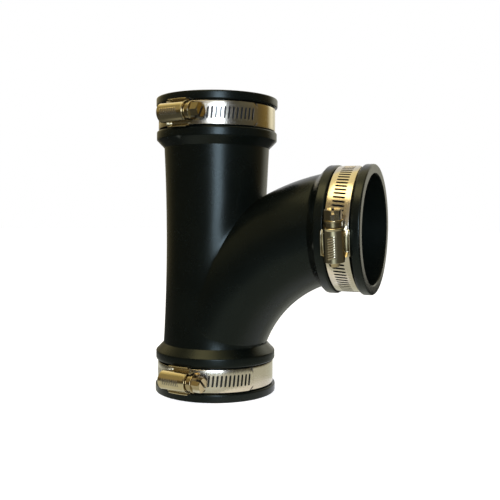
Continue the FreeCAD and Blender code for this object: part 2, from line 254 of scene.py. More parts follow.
# %% Outlines of the sockets and the passage
def socket_outline():
    """(radius, depth) from the mouth's inner edge over lip, groove, ring and cone to the neck."""
    groove_end = LIP_LENGTH + GROOVE_WIDTH
    ring_end = groove_end + SHOULDER_WIDTH
    corners = [
        (BORE_R + MOUTH_CHAMFER, 0), (LIP_R, 0), (LIP_R, LIP_LENGTH), (GROOVE_R, LIP_LENGTH),
        (GROOVE_R, groove_end), (SHOULDER_R, groove_end), (SHOULDER_R, ring_end),
        (NECK_END_R, SOCKET_LENGTH)]
    radii = [0, LIP_ROUND, LIP_ROUND, GROOVE_ROUND, GROOVE_ROUND, SHOULDER_ROUND, SHOULDER_ROUND]
    return rounded_path(corners, radii, spacing=1.6)


def passage_outline():
    """(radius, depth) from the mouth's inner edge down the pipe seat and stop to the passage."""
    corners = [(BORE_R + MOUTH_CHAMFER, 0), (BORE_R, MOUTH_CHAMFER), (BORE_R, STOP_DEPTH),
               (NECK_BORE_R, STOP_DEPTH)]
    return rounded_path(corners, [0, 0, STOP_ROUND], spacing=2.5)


def waist_outline(end_r, middle_r, low, high, count=60):
    """(radius, height) of an arc, whose own radius follows from the waist's depth."""
    half = (high - low) / 2
    height = np.linspace(-half, half, count)
    sag = end_r - middle_r
    if sag == 0:
        return np.stack([np.full(count, end_r), height + low + half], -1)
    bend = (half ** 2 + sag ** 2) / (2 * sag)
    return np.stack([middle_r + bend - np.sqrt(bend ** 2 - height ** 2), height + low + half], -1)


print("socket outline points", len(socket_outline()))


# %% Where the branch leaves the run
SCAN_STEPS = 1440
HALVINGS = 50
CREASE_SCAN = 6001
CREASE_FINE = 4001


def halved(low, high, is_before):
    """Where a test that is true at low and false at high changes, by halving."""
    for _ in range(HALVINGS):
        middle = (low + high) / 2
        before = is_before(middle)
        low = np.where(before, middle, low)
        high = np.where(before, high, middle)
    return (low + high) / 2


def tube_depth(points, tube_r):
    """Distance from the bent tube's wall, negative inside: first to the bend's centre line, a
    circle in the XZ plane, then less the tube's radius. Ahead of the tube's start all is
    outside."""
    across = points[..., 0] - SWEEP_CENTRE_X
    up = points[..., 2] - SWEEP_CENTRE_Z
    from_circle = np.hypot(np.hypot(across, up) - SWEEP_BEND_R, points[..., 1]) - tube_r
    started = np.arctan2(up, -across) >= SWEEP_START_TURN
    return np.where(started, from_circle, 1.0)


def ring_points(outline, angles):
    """Points at an outline's (radius, height) and at angles about the run's axis."""
    return polar(outline[..., 0], angles, outline[..., 1])


def half_opening(outline, tube_r):
    """Half the angle that each ring of the run loses to the branch: the first angle from +X where
    the ring comes out of the tube, found by a scan and then by halving."""
    scan = np.linspace(0, math.pi, SCAN_STEPS + 1)
    depth = tube_depth(ring_points(outline[:, None, :], scan[None, :]), tube_r)
    first_out = np.argmax(depth > 0, axis=1)
    edge = halved(scan[np.maximum(first_out - 1, 0)], scan[first_out],
                  lambda turn: tube_depth(ring_points(outline, turn), tube_r) < 0)
    return np.where(first_out > 0, edge, 0.0)


def crease_rows(neck, tube_r, count):
    """Points of the neck's outline, evenly spaced along the crease. Both ends lie where it crosses
    the tube in the plane of symmetry."""
    fine = np.linspace(0, len(neck) - 1, CREASE_SCAN)
    open_rows = fine[half_opening(at_places(neck, fine), tube_r) > 0]
    fine = np.linspace(open_rows[0], open_rows[-1], CREASE_FINE)
    ring = at_places(neck, fine)
    crease = ring_points(ring, half_opening(ring, tube_r))
    length = np.append(0, np.cumsum(np.linalg.norm(np.diff(crease, axis=0), axis=1)))
    chosen = np.interp(np.linspace(0, length[-1], count), length, fine)
    return at_places(neck, chosen), chosen


print("scan steps", SCAN_STEPS, "halvings", HALVINGS)


# %% The tee's skin
CREASE_ROWS = 81
RUN_COLUMNS = 144
TUBE_ROWS = 56
ROW_GAP = 0.2
MEET_GAP = 0.05
HOLLOW_DEPTH = 0.16
HOLLOW_REACH = 3.0
HOLLOW_END = 5.0
HOLLOW_FADE = 3.0
HOLLOW_LEAST = 1e-4
HOLLOW_ROWS = 12
LAST_TURN_LOW = math.radians(60)
LAST_TURN_HIGH = math.radians(89)


def tube_point(turn, around, tube_r):
    """Point of the tube's wall at a turn along the bend and an angle around it, 0 on the outer
    side."""
    reach = SWEEP_BEND_R + tube_r * np.cos(around)
    return np.stack([SWEEP_CENTRE_X - reach * np.cos(turn), tube_r * np.sin(around),
                     SWEEP_CENTRE_Z + reach * np.sin(turn)], -1)


def last_turn(around, tube_r, root):
    """Turn at which each column of the tube meets the branch socket's inner end, a straight line
    through two (radius, depth) points."""
    (near_r, near_depth), (far_r, far_depth) = root

    def is_before(turn):
        point = tube_point(turn, around, tube_r)
        radius = np.hypot(point[..., 1], point[..., 2] - BRANCH_HEIGHT)
        line_side = ((BRANCH_REACH - point[..., 0] - near_depth) * (far_r - near_r)
                     - (radius - near_r) * (far_depth - near_depth))
        return line_side * (far_r - near_r) > 0

    return halved(LAST_TURN_LOW, LAST_TURN_HIGH, is_before)


def hollowed(points, edge, depth):
    """The run's points pressed in beside the crease, as moulded rubber sinks there. With t =
    distance from the crease / reach, the hollow is depth * t * exp(1 - t), and it fades out by
    HOLLOW_END."""
    both = np.vstack([edge, edge * [1, -1, 1]])
    away = np.linalg.norm(points[:, :, None] - both, axis=-1).min(-1) / HOLLOW_REACH
    sink = depth * away * np.exp(1 - away)
    sink = np.where(sink > HOLLOW_LEAST, sink, 0) * eased((HOLLOW_END - away) / HOLLOW_FADE)
    radius = np.hypot(points[..., 0], points[..., 1])
    shrink = 1 - sink / radius
    return points * np.stack([shrink, shrink, np.ones_like(shrink)], -1)


def run_sheet(socket, neck, crease, chosen, tube_r, hollow):
    """The run's rings, opened like a curtain along the crease, and the crease's right edge."""
    places = np.arange(len(neck))
    below = neck[(places > 0) & (places < chosen[0] - ROW_GAP)]
    above = neck[(places < len(neck) - 1) & (places > chosen[-1] + ROW_GAP)]
    upper_socket = np.stack([socket[::-1, 0], RUN_LENGTH - socket[::-1, 1]], -1)
    outline = np.vstack([socket, below, crease, above, upper_socket])
    first = len(socket) + len(below)
    opening = np.zeros(len(outline))
    opening[first + 1:first + len(crease) - 1] = half_opening(crease[1:-1], tube_r)
    share = np.linspace(0, 1, RUN_COLUMNS + 1)
    angles = opening[:, None] + share * 2 * (math.pi - opening[:, None])
    points = ring_points(outline[:, None, :], angles)
    edge = points[first:first + len(crease), 0]
    if hollow:
        near = slice(first - HOLLOW_ROWS, first + len(crease) + HOLLOW_ROWS)
        points[near] = hollowed(points[near], edge, hollow)
    return sheet(points), edge


def tube_sheet(edge, tube_r, root):
    """The tube: its columns start on the crease, spread evenly along the bend and end on the
    socket."""
    loop = np.vstack([edge, (edge * [1, -1, 1])[-2:0:-1]])
    across = loop[:, 0] - SWEEP_CENTRE_X
    up = loop[:, 2] - SWEEP_CENTRE_Z
    first_turn = np.arctan2(up, -across)
    first_around = np.arctan2(np.abs(loop[:, 1]), np.hypot(across, up) - SWEEP_BEND_R)
    column = np.arange(len(loop))
    side = np.where(column < len(edge), 1, -1)
    last_around = math.pi * np.abs(1 - column / (len(edge) - 1))
    share = np.linspace(0, 1, TUBE_ROWS)[:, None]
    turn = first_turn + share * (last_turn(last_around, tube_r, root) - first_turn)
    around = side * (first_around + eased(share) * (last_around - first_around))
    points = tube_point(turn, around, tube_r)
    points[0] = loop
    return sheet(points, wrap=True), points[-1]


def branch_sheet(end, socket):
    """The branch socket: rings from the tube's end out to the mouth, where the columns are even."""
    first_heading = np.arctan2(end[:, 1], end[:, 2] - BRANCH_HEIGHT)
    last_heading = math.pi - np.arange(len(end)) * 2 * math.pi / len(end)
    nearer = socket[:, 1] < (BRANCH_REACH - end[:, 0]).min() + MEET_GAP
    rings = socket[nearer][::-1, None, :]
    share = np.linspace(0, 1, len(rings))[:, None]
    turn_left = np.angle(np.exp(1j * (last_heading - first_heading)))
    heading = first_heading + eased(share) * turn_left
    out = polar(rings[..., 0], heading, BRANCH_REACH - rings[..., 1])[..., ::-1]
    return sheet(np.concatenate([end[None], out + [0, 0, BRANCH_HEIGHT]]), wrap=True)


def tee_skin(socket, neck, tube_r, hollow=0.0):
    """The three sheets of one skin: run, bent tube and branch socket."""
    crease, chosen = crease_rows(neck, tube_r, CREASE_ROWS)
    run, edge = run_sheet(socket, neck, crease, chosen, tube_r, hollow)
    tube, end = tube_sheet(edge, tube_r, socket[-2:])
    return [run, tube, branch_sheet(end, socket)]


outer_neck = waist_outline(NECK_END_R, NECK_MID_R, SOCKET_LENGTH, RUN_LENGTH - SOCKET_LENGTH)
inner_neck = waist_outline(NECK_BORE_R, NECK_BORE_R, STOP_DEPTH, RUN_LENGTH - STOP_DEPTH)
outside = tee_skin(socket_outline(), outer_neck, SWEEP_TUBE_R, HOLLOW_DEPTH)
inside = tee_skin(passage_outline(), inner_neck, SWEEP_TUBE_R - NECK_WALL)
tee_body = build_piece("rubber_tee", outside + inside, "tee_body", ["tee_body"])

# %% [markdown]
# ## Where each clamp sits
#
# Each clamp is drawn in its own axes and then carried to its socket. Its Z runs along the socket, its
# X points out to the screw, and its Y runs along the screw towards the head. The joints that turn the
# clamp and its screw give these axes.

# %% Clamp axes from the joints
CLAMPS = ("upper", "lower", "branch")


def carried(sheets, name):
    """Sheets drawn in clamp axes, carried to the named clamp by the places and axes of its joints, each
    with its painted shade and its place on the flat strip: (radius x turn, across, radius)."""
    turn, screw = joints[name + "_clamp_turn"], joints[name + "_screw_turn"]
    origin = np.array(turn["pos_m"]) / MM
    z_axis = np.array(turn["axis"], float)
    x_axis = unit(np.array(screw["pos_m"]) / MM - origin)
    axes = np.stack([x_axis, np.cross(z_axis, x_axis), z_axis])
    placed = []
    for points, faces, *marks in sheets:
        radius = np.hypot(points[:, 0], points[:, 1])
        lie = np.stack([SCREW_AXIS_R * np.arctan2(points[:, 1], points[:, 0]), points[:, 2], radius], -1)
        placed.append((points @ axes + origin, faces, marks[0] if marks else 0.0, lie))
    return placed


def clamp_pieces(kind, node, drawn, body="clamp", sharp=SHARP_ANGLE):
    """One piece for each clamp, from its sheets in clamp axes."""
    pieces = [build_piece(f"{name}_{kind}", carried(sheets, name), f"{name}_{body}",
                          [f"{name}_{node}"], sharp) for name, sheets in zip(CLAMPS, drawn)]
    print(kind, "pieces", len(pieces))
    return pieces


SCREW_AXIS_R = np.linalg.norm(
    np.array(joints["upper_screw_turn"]["pos_m"]) - np.array(joints["upper_clamp_turn"]["pos_m"])) / MM
print("screw axis at", round(SCREW_AXIS_R, 2), "mm")

# %% [markdown]
# ## The wound bands
#
# A band is one strip of stainless steel. It starts under the housing, goes once round the socket,
# climbs over its own start and leaves past the screw as a tail with clipped corners. Slanted slots
# take the worm. Each is a ring of points between its rounded outline and the edges of its own cell,
# so it has true walls without a boolean.

# %% Sizes of the band
BAND_WIDTH = 12.7
BAND_THICKNESS = 0.65
BAND_FLOAT = 0.2
SADDLE_THICKNESS = 0.65
BAND_REST_R = GROOVE_R + BAND_FLOAT
SADDLE_TOP_R = BAND_REST_R + SADDLE_THICKNESS
LAYER_GAP = 0.1
INNER_LAYER_R = SADDLE_TOP_R + LAYER_GAP / 2
OUTER_LAYER_R = INNER_LAYER_R + BAND_THICKNESS + LAYER_GAP
TAIL_R = BAND_REST_R + BAND_THICKNESS + LAYER_GAP
BAND_TOP_R = OUTER_LAYER_R + BAND_THICKNESS
FIXED_END_BACK = 8.0
FLAT_HALF_TURN = 12.0
RAMP_TURN = 20.0
ENTRY_RAMP_TURN = 38.0
SLOT_LENGTH = 6.4
SLOT_WIDTH = 1.05
SLOT_CORNER = 0.4
SLOT_EDGE = 0.1
SLOT_PITCH = 2.4
SLOT_SLANT = math.radians(5.78)
SLOT_STEP = math.degrees(SLOT_PITCH / (OUTER_LAYER_R + BAND_THICKNESS / 2))
SLOTS_BEFORE_HOUSING = 20
TAIL_CORNER = 2.8
TAIL_END_MARGIN = 3.0
TAIL_TURNS = (76.0, 71.0, 91.0)
EDGE_ROUND = 0.15
# Painted shade on the strip under the tail: how far past the tail's end it reaches, and over how many degrees it
# fades.
SHADE_LEAD = 0.5
SHADE_FADE = 1.5
BEFORE_POINTS = 130
AFTER_POINTS = 5
CELL_POINTS = 4
print("slot step", round(SLOT_STEP, 3), "degrees")


# %% Shape of the strip
def band_radius(turn):
    """Inner radius of the strip at a turn in degrees: level on the saddle, down to the groove, up
    over its own start, and down again."""
    leave = BAND_REST_R - INNER_LAYER_R
    climb = OUTER_LAYER_R - BAND_REST_R
    settle = TAIL_R - OUTER_LAYER_R
    return (INNER_LAYER_R + leave * eased((turn - FLAT_HALF_TURN) / RAMP_TURN)
            + climb * eased((turn - 360 + FLAT_HALF_TURN + ENTRY_RAMP_TURN) / ENTRY_RAMP_TURN)
            + settle * eased((turn - 360 - FLAT_HALF_TURN) / RAMP_TURN))


def strip_points(turn, across, height):
    """Points of the strip at a turn in degrees, a place across it and a height above its inside."""
    return polar(band_radius(turn) + height, np.radians(turn), across)


def half_width(turn, tail):
    """Half the strip's width, which narrows at 45 degrees over the tail's clipped corners."""
    from_end = np.radians(360 + tail - turn) * TAIL_R
    return BAND_WIDTH / 2 - np.clip(TAIL_CORNER - from_end, 0, TAIL_CORNER)


FACE_SHARES = np.linspace(-1, 1, 13)
EDGE_TURNS = np.radians(np.linspace(0, 90, 4))
EDGE_OUT = EDGE_ROUND * np.concatenate([np.sin(EDGE_TURNS), np.sin(EDGE_TURNS[::-1])])
EDGE_HEIGHT = np.concatenate([BAND_THICKNESS - EDGE_ROUND * (1 - np.cos(EDGE_TURNS)),
                              EDGE_ROUND * (1 - np.cos(EDGE_TURNS[::-1]))])
print("edge profile points", len(EDGE_OUT))


# %% One slot's cell
def cell_ring(along_count=CELL_POINTS, side_count=12):
    """Edge of the unit square as a closed ring of (along, across), from the lower right corner."""
    up = np.linspace(-1, 1, side_count + 1)[:-1]
    left = np.linspace(1, -1, along_count + 1)[:-1]
    along = np.concatenate([np.ones(side_count), left, -np.ones(side_count), -left])
    across = np.concatenate([up, np.ones(along_count), -up, -np.ones(along_count)])
    return along, across


def slot_sheet(first, last, tail):
    """All slot cells at once. A cell's rows run from its edge over the outer face, down the slot's
    wall and back on the inner face. The slot is a rectangle, slanted by the worm's lead, whose
    corners are pushed out by a turning unit vector."""
    along, across = cell_ring()
    centre = 360 + np.arange(first, last + 1)[:, None] * SLOT_STEP
    lean = np.stack([along ** 7, across ** 7], -1)
    lean = lean / np.linalg.norm(lean, axis=-1, keepdims=True)
    rows = []
    top = BAND_THICKNESS
    steps = ((True, 0, top), (False, 3, top), (False, 1, top), (False, 0, top - SLOT_EDGE),
             (False, 0, SLOT_EDGE), (False, 1, 0.0), (False, 3, 0.0), (True, 0, 0.0))
    for on_cell, edges_out, height in steps:
        grow = edges_out * SLOT_EDGE
        slot_along = (SLOT_WIDTH / 2 - SLOT_CORNER) * along + (SLOT_CORNER + grow) * lean[:, 0]
        slot_across = (SLOT_LENGTH / 2 - SLOT_CORNER) * across + (SLOT_CORNER + grow) * lean[:, 1]
        slanted = slot_along + slot_across * math.tan(SLOT_SLANT)
        turn = centre + (along / 2 if on_cell else slanted / SLOT_PITCH) * SLOT_STEP
        place = across * (half_width(turn, tail) - EDGE_ROUND) if on_cell else slot_across
        rows.append(strip_points(turn, place, height))
    grid = np.stack(rows, 1)
    cells, row_count, ring_count = grid.shape[:3]
    faces = sheet_faces(row_count, ring_count, wrap=True)
    offsets = np.arange(cells)[:, None, None] * row_count * ring_count
    # Painted shade: the lower slot walls and the inner face under the slots are marked dark, in place of the shade
    # inside the slots.
    grime = np.array([height < top for on_cell, edges_out, height in steps], float)
    grime = np.tile(np.repeat(grime, ring_count), cells)
    return grid.reshape(-1, 3), (faces[None] + offsets).reshape(-1, 4), grime


print("ring points in a cell", len(cell_ring()[0]))


# %% The strip
def plain_sheets(turns, tail):
    """Both faces of a stretch without slots, with painted shade where the tail covers it: a dark colour
    in place of the shade seen through the slots.
    """
    across = FACE_SHARES * (half_width(turns, tail) - EDGE_ROUND)[:, None]
    covered = eased((tail + SHADE_LEAD - turns) / SHADE_FADE)[:, None] * (turns < 360)[:, None]
    grime = (covered + 0 * across).ravel()
    return [(*sheet(strip_points(turns[:, None], across, height)), grime)
            for height in (BAND_THICKNESS, 0.0)]


def edge_sheets(turns, tail):
    """Rounded long edges of the whole strip."""
    out = half_width(turns, tail)[:, None] - EDGE_ROUND + EDGE_OUT
    return [sheet(strip_points(turns[:, None], side * out, EDGE_HEIGHT)) for side in (-1, 1)]


def end_sheet(turn, tail):
    """Flat end of the strip, with the outline of its edges and faces."""
    width = half_width(turn, tail) - EDGE_ROUND
    side, face = width + EDGE_OUT, width * FACE_SHARES[1:-1]
    across = np.concatenate([side, face[::-1], -side[::-1], face])
    height = np.concatenate([EDGE_HEIGHT, 0 * face, EDGE_HEIGHT[::-1], 0 * face + BAND_THICKNESS])
    return strip_points(turn, across, height), [list(range(len(across)))]


def band_sheets(tail):
    """The strip of one clamp: plain, slotted and plain again, with edges and ends."""
    first_slot = -SLOTS_BEFORE_HOUSING
    last_slot = int((tail - TAIL_END_MARGIN) / SLOT_STEP)
    start, finish = -FIXED_END_BACK, 360 + tail
    slots_start = 360 + (first_slot - 0.5) * SLOT_STEP
    slots_finish = 360 + (last_slot + 0.5) * SLOT_STEP
    before = np.linspace(start, slots_start, BEFORE_POINTS)
    slotted = np.linspace(slots_start, slots_finish, CELL_POINTS * (last_slot - first_slot + 1) + 1)
    after = np.linspace(slots_finish, finish, AFTER_POINTS)
    turns = np.concatenate([before, slotted[1:], after[1:]])
    return (plain_sheets(before, tail) + plain_sheets(after, tail)
            + [slot_sheet(first_slot, last_slot, tail)] + edge_sheets(turns, tail)
            + [end_sheet(start, tail), end_sheet(finish, tail)])


bands = clamp_pieces("strip", "band", map(band_sheets, TAIL_TURNS))

# %% [markdown]
# ## Saddles
#
# Under each housing a channel of sheet lies in the groove, and its two ears step out over the lips.
# It is one outline turned about the socket's axis. The ears are cut back at their tips.

# %% Saddles
SADDLE_LENGTH = 13.7
SADDLE_WALL = 0.5
SADDLE_SIDE_GAP = 0.1
EAR_THICKNESS = 0.65
EAR_LIFT = 0.15
EAR_HEIGHT = 2.5
EAR_STEP_HEIGHT = 0.65
EAR_CUT_BACK = 0.9


def saddle_sheets():
    """Outline turned through the saddle's length. The end angle shrinks above the lip, which slants
    the tips of the ears."""
    wall_in = BAND_WIDTH / 2 + SADDLE_SIDE_GAP
    wall_out = wall_in + SADDLE_WALL
    ear_low = LIP_R + EAR_LIFT
    ear_in = wall_out + SADDLE_SIDE_GAP
    half = [(BAND_REST_R, 0), (BAND_REST_R, wall_out), (ear_low, wall_out),
            (ear_low, ear_in + EAR_THICKNESS), (ear_low + EAR_HEIGHT, ear_in + EAR_THICKNESS),
            (ear_low + EAR_HEIGHT, ear_in), (ear_low + EAR_STEP_HEIGHT, ear_in),
            (ear_low + EAR_STEP_HEIGHT, wall_in), (SADDLE_TOP_R, wall_in), (SADDLE_TOP_R, 0)]
    side = rounded_path(half, [0, 0.2, 0, 0.15, 0.25, 0.25, 0, 0.15, 0], spacing=1.0, arc_steps=3)
    outline = np.vstack([side, (side * [1, -1])[-2:0:-1]])
    reach = SADDLE_LENGTH / 2 / ear_low
    above = np.clip((outline[:, 0] - ear_low - EAR_STEP_HEIGHT) / (EAR_HEIGHT - EAR_STEP_HEIGHT), 0, 1)
    last = reach - above * EAR_CUT_BACK / ear_low
    angle = np.linspace(-1, 1, 15)[:, None] * last
    points = ring_points(outline, angle)
    ends = [(points[row], [list(range(len(outline)))]) for row in (0, -1)]
    return [sheet(points, wrap=True)] + ends


saddles = clamp_pieces("channel", "saddle", [saddle_sheets()] * 3)

# %% [markdown]
# ## Housings
#
# The housing is a pressed cover: two skirts stand on the band and a half barrel closes over the worm.
# Its head end is belled out, its feet spread over the band, and its back corners are clipped. Its
# crown has a row of plain raised ribs.

# %% Housings
HOUSING_LENGTH = 17.6
HOUSING_SHEET = 0.75
HOUSING_GAP = 0.08
HOUSING_EDGE = 0.12
HOUSING_STEP = 0.02
HOUSING_FOOT_R = BAND_TOP_R + HOUSING_GAP
HOUSING_FOOT_WIDTH = 12.7
HOUSING_FOOT_LENGTH = 13.0
HOUSING_RIM_LENGTH = 0.9
HOUSING_RIM_RISE = 0.3
BELL_HALF = 0.25
SKIRT_START = 0.9
HOUSING_CORNER = 4.2
BARREL_INNER_R = 4.55
BARREL_OUTER_R = BARREL_INNER_R + HOUSING_SHEET
RIB_COUNT = 9
RIB_STEP = 1.25
RIB_HEIGHT = 0.2
RIB_HALF_TURN = math.radians(21)
RIB_FADE_TURN = math.radians(4)
RIB_START = 0.9
RIB_SLANT = 1.2
# Painted shade between the ribs: how dark the grooves are drawn.
RIB_PAINTED_SHADE = 0.8


def ribs(along, around):
    """Height of the slanted ribs on the crown, a wave along the barrel that fades at the row's
    sides and ends, and the painted shade between them."""
    phase = (along + RIB_START + RIB_SLANT * around) / RIB_STEP
    wave = np.clip(0.5 + 0.9 * np.cos(2 * math.pi * phase), 0, 1)
    ends = eased((RIB_COUNT / 2 - np.abs(phase)) * 4 + 0.5)
    sides = eased((RIB_HALF_TURN - np.abs(around)) / RIB_FADE_TURN)
    return RIB_HEIGHT * wave * ends * sides, (1 - wave) * ends * sides


def housing_sheets():
    """Cover in rows along the screw. Each row is a closed outline: barrel, right skirt and foot,
    back round the inside, left foot and skirt. The skirts end on the band or the clipped corner."""
    half = HOUSING_LENGTH / 2
    foot_half = HOUSING_FOOT_LENGTH / 2
    rim_start = half - HOUSING_RIM_LENGTH
    edge, step = HOUSING_EDGE, HOUSING_STEP
    along = np.concatenate([
        [-half, -half + edge], np.linspace(-half + 0.3, -foot_half - step, 8), [-foot_half, -foot_half],
        np.linspace(-foot_half + edge, foot_half - edge, 84), [foot_half, foot_half],
        np.linspace(foot_half + 0.2, rim_start, 5), [rim_start + 0.15, half - edge, half]])[:, None]
    has_foot = np.zeros_like(along)
    doubled = np.flatnonzero(np.abs(np.abs(along) - foot_half) < TINY)
    has_foot[doubled[1]:doubled[2] + 1] = 1
    bottom = np.maximum(np.sqrt(HOUSING_FOOT_R ** 2 - along ** 2),
                        HOUSING_FOOT_R + HOUSING_CORNER - (along + half))
    bell = HOUSING_RIM_RISE * eased((along - rim_start + BELL_HALF) / (2 * BELL_HALF))
    taper = edge * eased((np.abs(along) - half + edge) / edge)
    turn = np.linspace(-math.pi / 2, math.pi / 2, 49)
    rib, between = ribs(along, turn)
    wall = BARREL_OUTER_R + bell - taper
    barrel_x = SCREW_AXIS_R + (wall + rib) * np.cos(turn)
    barrel_z = (wall + rib) * np.sin(turn)
    foot_out = np.maximum(wall, has_foot * HOUSING_FOOT_WIDTH / 2)
    foot_top = bottom + HOUSING_SHEET * has_foot + (1 - has_foot) * step
    right_x = np.hstack([foot_top + SKIRT_START, foot_top + edge * has_foot, foot_top,
                         foot_top - edge * has_foot, bottom])
    right_z = np.hstack([wall, wall, np.maximum(wall, foot_out - edge), foot_out, foot_out])
    inner_x = SCREW_AXIS_R + (BARREL_INNER_R + taper) * np.cos(turn)
    inner_z = (BARREL_INNER_R + taper) * np.sin(turn)
    x = np.hstack([barrel_x, right_x, bottom, bottom + 1, inner_x[:, ::-1], bottom + 1, bottom,
                   right_x[:, ::-1]])
    z = np.hstack([barrel_z, right_z, inner_z[:, -1:], inner_z[:, -1:], inner_z[:, ::-1],
                   inner_z[:, :1], inner_z[:, :1], -right_z[:, ::-1]])
    points = np.stack([x, np.broadcast_to(along, x.shape), z], -1)
    count = len(turn)
    # The barrel's columns carry painted shade between the ribs, a dark colour in place of the shade in the
    # grooves.
    grime = np.zeros(x.shape)
    grime[:, :count] = RIB_PAINTED_SHADE * between
    first_in = count + right_x.shape[1] + 2
    last_in = first_in + count - 1
    barrel_end = [[i, i + 1, last_in - 1 - i, last_in - i] for i in range(count - 1)]
    right_end = [list(range(count - 1, first_in + 1))]
    left_end = [list(range(last_in, x.shape[1])) + [0]]
    ends = [(points[row], faces) for row in (0, -1) for faces in (barrel_end, right_end, left_end)]
    return [(*sheet(points, wrap=True), grime.ravel())] + ends


housings = clamp_pieces("cover", "housing", [housing_sheets()] * 3)

# %% [markdown]
# ## Worm screws
#
# A screw's shank is a surface of revolution whose radius also rises along a helix, as a thread. Its
# head is a hexagon with a slot: a grid of chords across the hexagon, all parallel to the slot, drops
# to the slot's floor between the two chords that are its walls.

# %% Sizes of the screw
WORM_CREST_R = 4.2
WORM_ROOT_R = 3.35
WORM_PITCH = 2.4
WORM_CREST_WIDTH = 0.45
WORM_BASE_WIDTH = 1.1
THREAD_HALF = 7.2
TIP_R = 2.5
TIP_LENGTH = 2.4
SCREW_SHOULDER_R = 4.5
SCREW_SHOULDER_LENGTH = 2.6
COLLAR_R = 5.05
COLLAR_LENGTH = 1.0
HEX_APOTHEM = 3.97
HEX_LENGTH = 5.3
HEX_CHAMFER = 0.45
DRIVER_SLOT_WIDTH = 1.4
DRIVER_SLOT_DEPTH = 2.4
SLOT_TURNS = (60.0, -45.0, 15.0)
SEAT_GAP = 0.3
AXIS_R = 0.001
THREAD_FADE = 0.6
HEX_TRIM = 0.005
HEAD_OVERLAP = 0.2
SCREW_SHARP_ANGLE = 32.0
SEAT = HOUSING_LENGTH / 2 + SEAT_GAP
COLLAR_END = SEAT + SCREW_SHOULDER_LENGTH + COLLAR_LENGTH


def on_screw(points):
    """Screw axes (Z along the screw, X towards the band) carried to clamp axes."""
    return points[..., [0, 2, 1]] * [-1, 1, 1] + [SCREW_AXIS_R, 0, 0]


def shank_sheet():
    """Lathe outline turned about the screw's axis, plus the worm: a flat-topped ridge that moves
    one pitch along the screw in each turn."""
    end = HOUSING_LENGTH / 2
    shoulder_end = SEAT + SCREW_SHOULDER_LENGTH
    corners = [(AXIS_R, -end - TIP_LENGTH), (TIP_R, -end - TIP_LENGTH), (WORM_ROOT_R, -end),
               (WORM_ROOT_R, SEAT), (SCREW_SHOULDER_R, SEAT), (SCREW_SHOULDER_R, shoulder_end),
               (COLLAR_R, shoulder_end), (COLLAR_R, COLLAR_END), (AXIS_R, COLLAR_END)]
    radii = [0, 0.3, 0, 0, 0.2, 0.1, 0.2, 0.25]
    outline = rounded_path(corners, radii, spacing=0.11, arc_steps=3)
    angle = np.linspace(0, 2 * math.pi, 49)[None, :-1]
    radius, along = outline[:, :1], outline[:, 1:]
    from_ridge = (along + THREAD_HALF) / WORM_PITCH - angle / (2 * math.pi)
    from_ridge = np.abs(from_ridge - np.round(from_ridge)) * WORM_PITCH
    flank = (WORM_BASE_WIDTH / 2 - from_ridge) / (WORM_BASE_WIDTH / 2 - WORM_CREST_WIDTH / 2)
    ends = eased((THREAD_HALF - np.abs(along)) / THREAD_FADE)
    radius = radius + (WORM_CREST_R - WORM_ROOT_R) * np.clip(flank, 0, 1) * ends
    return sheet(on_screw(polar(radius, angle, along)), wrap=True)


def head_sheets(slot_turn):
    """Hexagonal head. Along is the slot's direction and across is square to it. For each place
    across, the chord ends where it first meets one of the six flats."""
    flats = np.radians(30 + 60 * np.arange(6) - slot_turn)[:, None]
    corner_r = HEX_APOTHEM * 2 / math.sqrt(3)
    corner_turns = np.radians(60 * np.arange(6) - slot_turn)
    widest = corner_r * np.abs(np.sin(corner_turns)).max() - HEX_TRIM
    wall = DRIVER_SLOT_WIDTH / 2
    outer = np.linspace(wall, widest, 12)
    across = np.concatenate([-outer[::-1], [-wall, 0, wall], outer])
    with np.errstate(divide="ignore"):
        reach = (HEX_APOTHEM - np.sin(flats) * across) / np.cos(flats)
    far = np.where(np.cos(flats) > TINY, reach, np.inf).min(0)
    near = np.where(np.cos(flats) < -TINY, reach, -np.inf).max(0)
    share = (1 + np.sin(np.linspace(-math.pi / 2, math.pi / 2, 25))) / 2
    along = near[:, None] + (far - near)[:, None] * share
    place = np.hypot(along, across[:, None])
    top = COLLAR_END + HEX_LENGTH - np.clip(place - corner_r + 2 * HEX_CHAMFER, 0, None) / 2
    floor = COLLAR_END + HEX_LENGTH - DRIVER_SLOT_DEPTH
    in_slot = np.abs(np.arange(len(across)) - len(outer) - 1) <= 1
    height = np.where(in_slot[:, None], floor, top)
    grid = np.stack([along, np.broadcast_to(across[:, None], along.shape), height], -1)
    loop = np.concatenate([grid[:-1, -1], grid[-1, :0:-1], grid[:0:-1, 0], grid[0, :-1]])
    # The slot's floor carries painted shade, a dark colour in place of the shade deep in the slot.
    grime = in_slot[:, None] + 0.0 * height
    base = COLLAR_END - HEAD_OVERLAP
    sides = np.stack([loop, np.minimum(loop, [np.inf, np.inf, floor]), loop * [1, 1, 0] + [0, 0, base]])
    cosine, sine = math.cos(math.radians(slot_turn)), math.sin(math.radians(slot_turn))
    turned = np.array([[cosine, sine, 0], [-sine, cosine, 0], [0, 0, 1]])
    return [(*sheet(on_screw(grid @ turned)), grime.ravel()), sheet(on_screw(sides @ turned), wrap=True),
            (on_screw(sides[-1] @ turned), [list(range(len(loop)))])]


screws = clamp_pieces("worm_screw", "screw", [[shank_sheet()] + head_sheets(turn) for turn in SLOT_TURNS],
                      "screw", SCREW_SHARP_ANGLE)

# %% [markdown]
# ## Finishes
#
# Black rubber comes out of its mould with a faint grain and a satin skin, and its edges get scuffed.
# The steel is rolled, so fine lines run along it. Node groups for grain, wear and rolled lines are
# built once and shared by the finishes.

